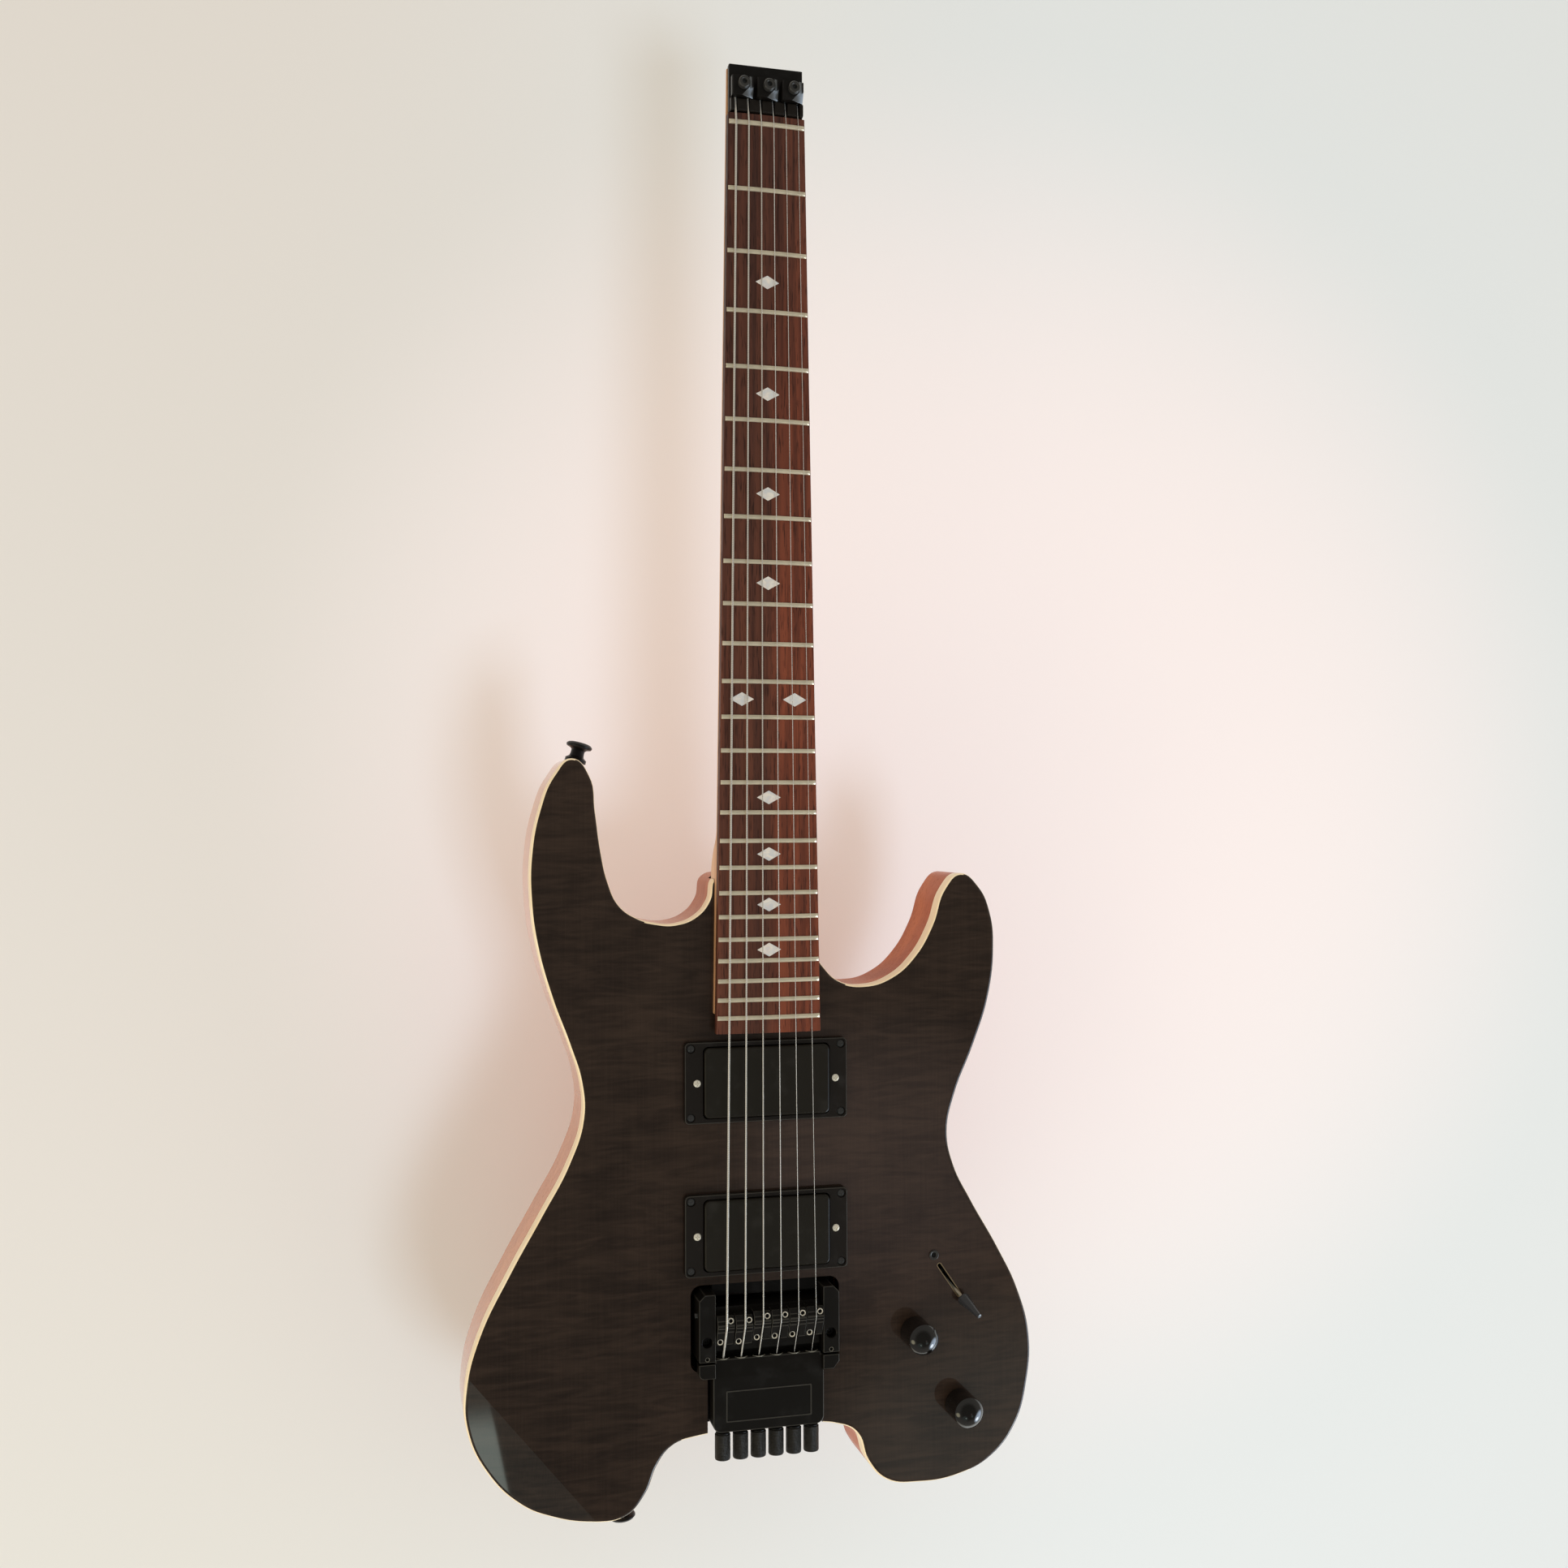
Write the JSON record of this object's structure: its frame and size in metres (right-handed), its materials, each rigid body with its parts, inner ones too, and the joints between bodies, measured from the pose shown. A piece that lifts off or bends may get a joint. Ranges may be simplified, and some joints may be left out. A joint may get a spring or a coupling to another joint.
{
  "type": "electric guitar",
  "caption": "Headless solid-body guitar with bolt-on neck, covered pickups, rocking bridge, rear tuning knobs, rotary controls and a lever selector.",
  "frame": {"origin": "on the back face's plane, at X = 0 on the centre line and below the saddle line", "axes": "+X to the treble side, +Y up the neck to the headpiece, +Z out of the top towards the strings"},
  "size_m": [0.3153, 0.7924, 0.0626],
  "materials": {
    "mahogany": "satin",
    "stained_maple": "gloss",
    "neck_maple": "satin",
    "rosewood": "matte",
    "steel": "satin",
    "black_metal": "satin",
    "black_plastic": "matte",
    "gloss_black": "gloss"
  },
  "bodies": {
    "guitar": {"body_back": "mahogany", "maple_top": "stained_maple", "neck": "neck_maple", "truss_rod": "steel", "fretboard": "rosewood", "zero_fret": "steel", "headpiece": "black_metal", "strap_button_horn": "black_metal", "strap_button_tail": "black_metal", "neck_pickup_ring": "black_plastic", "bridge_pickup_ring": "black_plastic", "selector_frame": "steel", "volume_pot": "steel", "tone_pot": "steel", "output_jack": "black_metal", "cavity_cover": "black_plastic", "bridge_frame": "black_metal", "pivot_pin_bass": "steel", "pivot_pin_treble": "steel", "tremolo_spring_bass": "steel", "tremolo_spring_treble": "steel", "string_1": "steel", "string_2": "steel", "string_3": "steel", "string_4": "steel", "string_5": "steel", "string_6": "steel"},
    "tremolo": {"tail_block": "black_metal"},
    "neck_pickup_unit": {"neck_pickup": "black_plastic"},
    "bridge_pickup_unit": {"bridge_pickup": "black_plastic"},
    "selector_switch": {"selector_lever": "steel", "selector_tip": "black_plastic"},
    "volume_control": {"volume_shaft": "steel", "volume_knob": "gloss_black"},
    "tone_control": {"tone_shaft": "steel", "tone_knob": "gloss_black"},
    "saddle_unit_6": {"saddle_6": "black_metal"},
    "tuner_6": {"tuning_knob_6": "black_metal"},
    "jaw_6": {"string_jaw_6": "steel"},
    "saddle_unit_5": {"saddle_5": "black_metal"},
    "tuner_5": {"tuning_knob_5": "black_metal"},
    "jaw_5": {"string_jaw_5": "steel"},
    "saddle_unit_4": {"saddle_4": "black_metal"},
    "tuner_4": {"tuning_knob_4": "black_metal"},
    "jaw_4": {"string_jaw_4": "steel"},
    "saddle_unit_3": {"saddle_3": "black_metal"},
    "tuner_3": {"tuning_knob_3": "black_metal"},
    "jaw_3": {"string_jaw_3": "steel"},
    "saddle_unit_2": {"saddle_2": "black_metal"},
    "tuner_2": {"tuning_knob_2": "black_metal"},
    "jaw_2": {"string_jaw_2": "steel"},
    "saddle_unit_1": {"saddle_1": "black_metal"},
    "tuner_1": {"tuning_knob_1": "black_metal"},
    "jaw_1": {"string_jaw_1": "steel"},
    "string_clamp_1": {"clamp_block_1": "black_metal"},
    "clamp_turner_1": {"clamp_screw_1": "black_metal"},
    "string_clamp_2": {"clamp_block_2": "black_metal"},
    "clamp_turner_2": {"clamp_screw_2": "black_metal"},
    "string_clamp_3": {"clamp_block_3": "black_metal"},
    "clamp_turner_3": {"clamp_screw_3": "black_metal"}
  },
  "joints": [
    {"name": "tremolo_pivot", "type": "hinge", "parent": "guitar", "child": "tremolo", "pos_m": [0, 0.0026, 0.0438], "axis": [1, 0, 0], "range_deg": [-5, 5], "stiffness_Nm_per_rad": 4, "deforming": ["string_1", "string_2", "string_3", "string_4", "string_5", "string_6", "tremolo_spring_bass", "tremolo_spring_treble"]},
    {"name": "saddle_slide_6", "type": "slide", "parent": "tremolo", "child": "saddle_unit_6", "axis": [0, 1, 0], "range_m": [-0.0025, 0.0025]},
    {"name": "tuner_turn_6", "type": "hinge", "parent": "tremolo", "child": "tuner_6", "pos_m": [-0.02463, -0.067, 0.0445], "axis": [0, 1, 0], "range_deg": [-1445, 1445]},
    {"name": "jaw_slide_6", "type": "slide", "parent": "tremolo", "child": "jaw_6", "axis": [0, -1, 0], "range_m": [-0.0028, 0.0028]},
    {"name": "saddle_slide_5", "type": "slide", "parent": "tremolo", "child": "saddle_unit_5", "axis": [0, 1, 0], "range_m": [-0.0025, 0.0025]},
    {"name": "tuner_turn_5", "type": "hinge", "parent": "tremolo", "child": "tuner_5", "pos_m": [-0.01477, -0.067, 0.0445], "axis": [0, 1, 0], "range_deg": [-1445, 1445]},
    {"name": "jaw_slide_5", "type": "slide", "parent": "tremolo", "child": "jaw_5", "axis": [0, -1, 0], "range_m": [-0.0028, 0.0028]},
    {"name": "saddle_slide_4", "type": "slide", "parent": "tremolo", "child": "saddle_unit_4", "axis": [0, 1, 0], "range_m": [-0.0025, 0.0025]},
    {"name": "tuner_turn_4", "type": "hinge", "parent": "tremolo", "child": "tuner_4", "pos_m": [-0.00492, -0.067, 0.0445], "axis": [0, 1, 0], "range_deg": [-1445, 1445]},
    {"name": "jaw_slide_4", "type": "slide", "parent": "tremolo", "child": "jaw_4", "axis": [0, -1, 0], "range_m": [-0.0028, 0.0028]},
    {"name": "saddle_slide_3", "type": "slide", "parent": "tremolo", "child": "saddle_unit_3", "axis": [0, 1, 0], "range_m": [-0.0025, 0.0025]},
    {"name": "tuner_turn_3", "type": "hinge", "parent": "tremolo", "child": "tuner_3", "pos_m": [0.00492, -0.067, 0.0445], "axis": [0, 1, 0], "range_deg": [-1445, 1445]},
    {"name": "jaw_slide_3", "type": "slide", "parent": "tremolo", "child": "jaw_3", "axis": [0, -1, 0], "range_m": [-0.0028, 0.0028]},
    {"name": "saddle_slide_2", "type": "slide", "parent": "tremolo", "child": "saddle_unit_2", "axis": [0, 1, 0], "range_m": [-0.0025, 0.0025]},
    {"name": "tuner_turn_2", "type": "hinge", "parent": "tremolo", "child": "tuner_2", "pos_m": [0.01477, -0.067, 0.0445], "axis": [0, 1, 0], "range_deg": [-1445, 1445]},
    {"name": "jaw_slide_2", "type": "slide", "parent": "tremolo", "child": "jaw_2", "axis": [0, -1, 0], "range_m": [-0.0028, 0.0028]},
    {"name": "saddle_slide_1", "type": "slide", "parent": "tremolo", "child": "saddle_unit_1", "axis": [0, 1, 0], "range_m": [-0.0025, 0.0025]},
    {"name": "tuner_turn_1", "type": "hinge", "parent": "tremolo", "child": "tuner_1", "pos_m": [0.02463, -0.067, 0.0445], "axis": [0, 1, 0], "range_deg": [-1445, 1445]},
    {"name": "jaw_slide_1", "type": "slide", "parent": "tremolo", "child": "jaw_1", "axis": [0, -1, 0], "range_m": [-0.0028, 0.0028]},
    {"name": "neck_pickup_height", "type": "slide", "parent": "guitar", "child": "neck_pickup_unit", "axis": [0, 0, 1], "range_m": [-0.0015, 0.0015]},
    {"name": "bridge_pickup_height", "type": "slide", "parent": "guitar", "child": "bridge_pickup_unit", "axis": [0, 0, 1], "range_m": [-0.0015, 0.0015]},
    {"name": "selector_switch_lever", "type": "hinge", "parent": "guitar", "child": "selector_switch", "pos_m": [0.1059, 0.0107, 0.026], "axis": [0.8257, 0.5641, 0], "range_deg": [-60, 0]},
    {"name": "volume_turn", "type": "hinge", "parent": "guitar", "child": "volume_control", "pos_m": [0.085, -0.016, 0.052], "axis": [0, 0, 1], "range_deg": [-140, 140]},
    {"name": "tone_turn", "type": "hinge", "parent": "guitar", "child": "tone_control", "pos_m": [0.111, -0.058, 0.052], "axis": [0, 0, 1], "range_deg": [-140, 140]},
    {"name": "clamp_lift_1", "type": "slide", "parent": "guitar", "child": "string_clamp_1", "axis": [0, 0, 1], "range_m": [0, 0.001]},
    {"name": "clamp_screw_turn_1", "type": "hinge", "parent": "string_clamp_1", "child": "clamp_turner_1", "pos_m": [-0.014, 0.6673, 0.055], "axis": [0, 0, 1], "range_deg": [0, 520]},
    {"name": "clamp_lift_2", "type": "slide", "parent": "guitar", "child": "string_clamp_2", "axis": [0, 0, 1], "range_m": [0, 0.001]},
    {"name": "clamp_screw_turn_2", "type": "hinge", "parent": "string_clamp_2", "child": "clamp_turner_2", "pos_m": [0, 0.6673, 0.055], "axis": [0, 0, 1], "range_deg": [0, 520]},
    {"name": "clamp_lift_3", "type": "slide", "parent": "guitar", "child": "string_clamp_3", "axis": [0, 0, 1], "range_m": [0, 0.001]},
    {"name": "clamp_screw_turn_3", "type": "hinge", "parent": "string_clamp_3", "child": "clamp_turner_3", "pos_m": [0.014, 0.6673, 0.055], "axis": [0, 0, 1], "range_deg": [0, 520]}
  ],
  "couplings": [
    {"joint": "tuner_turn_6", "follows": "jaw_slide_6", "rad_per_m": 8976},
    {"joint": "tuner_turn_5", "follows": "jaw_slide_5", "rad_per_m": 8976},
    {"joint": "tuner_turn_4", "follows": "jaw_slide_4", "rad_per_m": 8976},
    {"joint": "tuner_turn_3", "follows": "jaw_slide_3", "rad_per_m": 8976},
    {"joint": "tuner_turn_2", "follows": "jaw_slide_2", "rad_per_m": 8976},
    {"joint": "tuner_turn_1", "follows": "jaw_slide_1", "rad_per_m": 8976},
    {"joint": "clamp_screw_turn_1", "follows": "clamp_lift_1", "rad_per_m": 8976},
    {"joint": "clamp_screw_turn_2", "follows": "clamp_lift_2", "rad_per_m": 8976},
    {"joint": "clamp_screw_turn_3", "follows": "clamp_lift_3", "rad_per_m": 8976}
  ]
}
